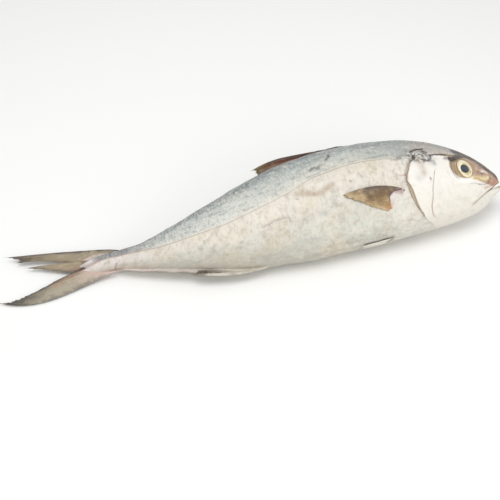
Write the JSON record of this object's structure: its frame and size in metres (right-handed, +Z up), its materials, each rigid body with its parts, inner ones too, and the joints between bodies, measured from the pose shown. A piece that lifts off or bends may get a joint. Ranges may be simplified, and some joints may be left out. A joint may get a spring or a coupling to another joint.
{
  "type": "whole raw fish",
  "caption": "Whole raw fish of the amberjack kind, lying on its left flank, with folded fins, a forked tail, gill covers, eyes and a slightly open mouth.",
  "frame": {"origin": "middle of the bounding box on the surface that the fish lies on", "axes": "+X towards the snout, +Y towards the back edge, +Z up through the right flank"},
  "size_m": [0.5947, 0.131, 0.0861],
  "materials": {
    "fish_skin": "wet silver and beige skin, blue grey along the back, with brown olive fins"
  },
  "bodies": {
    "root": {"whole_fish": "fish_skin"}
  },
  "joints": []
}
